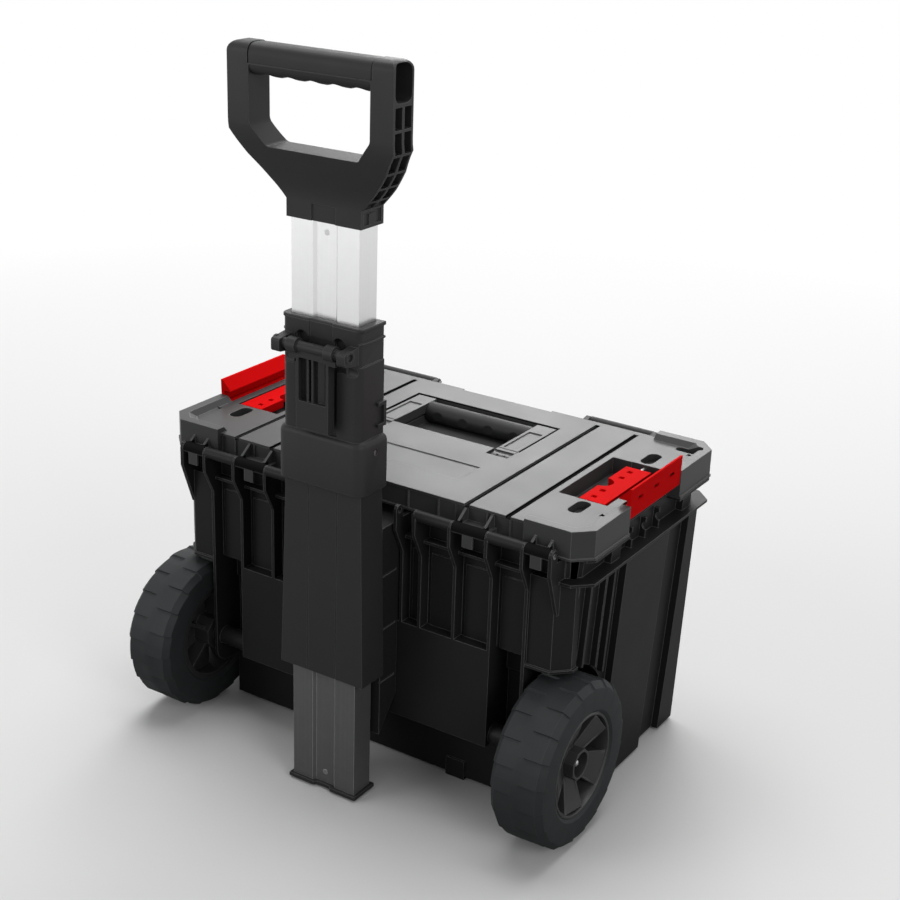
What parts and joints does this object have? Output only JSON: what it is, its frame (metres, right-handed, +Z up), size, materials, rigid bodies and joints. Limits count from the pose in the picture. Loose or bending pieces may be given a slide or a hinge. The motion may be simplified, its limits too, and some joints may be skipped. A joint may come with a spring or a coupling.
{
  "type": "jobsite storage box",
  "caption": "Wheeled moulded storage box with a hinged latching lid, folding carry handle, stacking clips and a telescopic pull mast with a D-handle.",
  "frame": {"origin": "on the ground under the middle of the whole object's length and depth", "axes": "+Z up, +X towards the side that is on the left when the box is seen from its mast side, +Y from the front latches towards the mast and wheels"},
  "size_m": [0.462, 0.3358, 0.667],
  "materials": {
    "tub_black": "fine moulded grain",
    "housing_black": "satin moulded",
    "lid_grey": "fine moulded grain",
    "red_plastic": "satin moulded",
    "grip_rubber": "soft touch",
    "seal_rubber": "foamed rubber",
    "tyre": "matt moulded tread",
    "rim_black": "satin moulded",
    "steel": "zinc plated",
    "aluminium": "extruded, satin anodised"
  },
  "bodies": {
    "tub": {"tub": "tub_black", "axle_left": "steel", "axle_right": "steel", "hinge_pin_left": "steel", "hinge_pin_right": "steel", "mast_bracket": "tub_black", "mast_sleeve": "housing_black", "mast_head": "housing_black", "release_rod": "steel", "head_screws": "steel", "cable_hook": "housing_black"},
    "lid": {"lid_shell": "lid_grey", "lid_seal": "seal_rubber", "latch_pin_left": "steel", "latch_pin_right": "steel", "handle_pins": "steel", "lever_rod_left": "steel", "lever_rod_right": "steel", "clip_rod_left": "steel", "clip_rod_right": "steel"},
    "latch_left": {"latch_left": "housing_black"},
    "latch_right": {"latch_right": "housing_black"},
    "carry_handle": {"carry_frame": "lid_grey", "carry_grip": "grip_rubber"},
    "clip_left": {"clip_left": "red_plastic"},
    "clip_right": {"clip_right": "red_plastic"},
    "lever_left": {"lever_left": "red_plastic"},
    "lever_right": {"lever_right": "red_plastic"},
    "wheel_left": {"tyre_left": "tyre", "rim_left": "rim_black", "hub_cap_left": "steel"},
    "wheel_right": {"tyre_right": "tyre", "rim_right": "rim_black", "hub_cap_right": "steel"},
    "mast": {"mast_tube": "aluminium", "mast_end_cap": "housing_black", "handle_frame": "housing_black", "mast_grip": "grip_rubber", "mast_screws": "steel"},
    "release_lever": {"release_lever": "housing_black"},
    "lock_pin": {"lock_pin": "steel"}
  },
  "joints": [
    {"name": "lid_hinge", "type": "hinge", "parent": "tub", "child": "lid", "pos_m": [0, 0.0981, 0.2745], "axis": [-1, 0, 0], "range_deg": [0, 88]},
    {"name": "carry_handle_fold", "type": "hinge", "parent": "lid", "child": "carry_handle", "pos_m": [0, -0.0324, 0.2835], "axis": [1, 0, 0], "range_deg": [-90, 0]},
    {"name": "mast_slide", "type": "slide", "parent": "tub", "child": "mast", "axis": [0, 0, 1], "range_m": [0, 0.115]},
    {"name": "release_lever_press", "type": "hinge", "parent": "tub", "child": "release_lever", "pos_m": [0, 0.1614, 0.428], "axis": [1, 0, 0], "range_deg": [0, 8], "stiffness_Nm_per_rad": 1, "springref_deg": -2.86},
    {"name": "lock_pin_slide", "type": "slide", "parent": "tub", "child": "lock_pin", "axis": [0, 1, 0], "range_m": [0, 0.0087]},
    {"name": "latch_left_swing", "type": "hinge", "parent": "lid", "child": "latch_left", "pos_m": [0.12375, -0.1629, 0.2885], "axis": [-1, 0, 0], "range_deg": [0, 100]},
    {"name": "clip_left_swing", "type": "hinge", "parent": "lid", "child": "clip_left", "pos_m": [0.217, -0.0339, 0.288], "axis": [0, 1, 0], "range_deg": [0, 70]},
    {"name": "lever_left_lift", "type": "hinge", "parent": "lid", "child": "lever_left", "pos_m": [0.187, -0.0339, 0.287], "axis": [0, 1, 0], "range_deg": [0, 35]},
    {"name": "wheel_left_spin", "type": "hinge", "parent": "tub", "child": "wheel_left", "pos_m": [0.205, 0.0792, 0.0765], "axis": [1, 0, 0], "continuous": true},
    {"name": "latch_right_swing", "type": "hinge", "parent": "lid", "child": "latch_right", "pos_m": [-0.12375, -0.1629, 0.2885], "axis": [-1, 0, 0], "range_deg": [0, 100]},
    {"name": "clip_right_swing", "type": "hinge", "parent": "lid", "child": "clip_right", "pos_m": [-0.217, -0.0339, 0.288], "axis": [0, -1, 0], "range_deg": [0, 70]},
    {"name": "lever_right_lift", "type": "hinge", "parent": "lid", "child": "lever_right", "pos_m": [-0.187, -0.0339, 0.287], "axis": [0, -1, 0], "range_deg": [0, 35]},
    {"name": "wheel_right_spin", "type": "hinge", "parent": "tub", "child": "wheel_right", "pos_m": [-0.205, 0.0792, 0.0765], "axis": [1, 0, 0], "continuous": true}
  ],
  "couplings": [
    {"joint": "lock_pin_slide", "follows": "release_lever_press", "m_per_rad": 0.062}
  ]
}
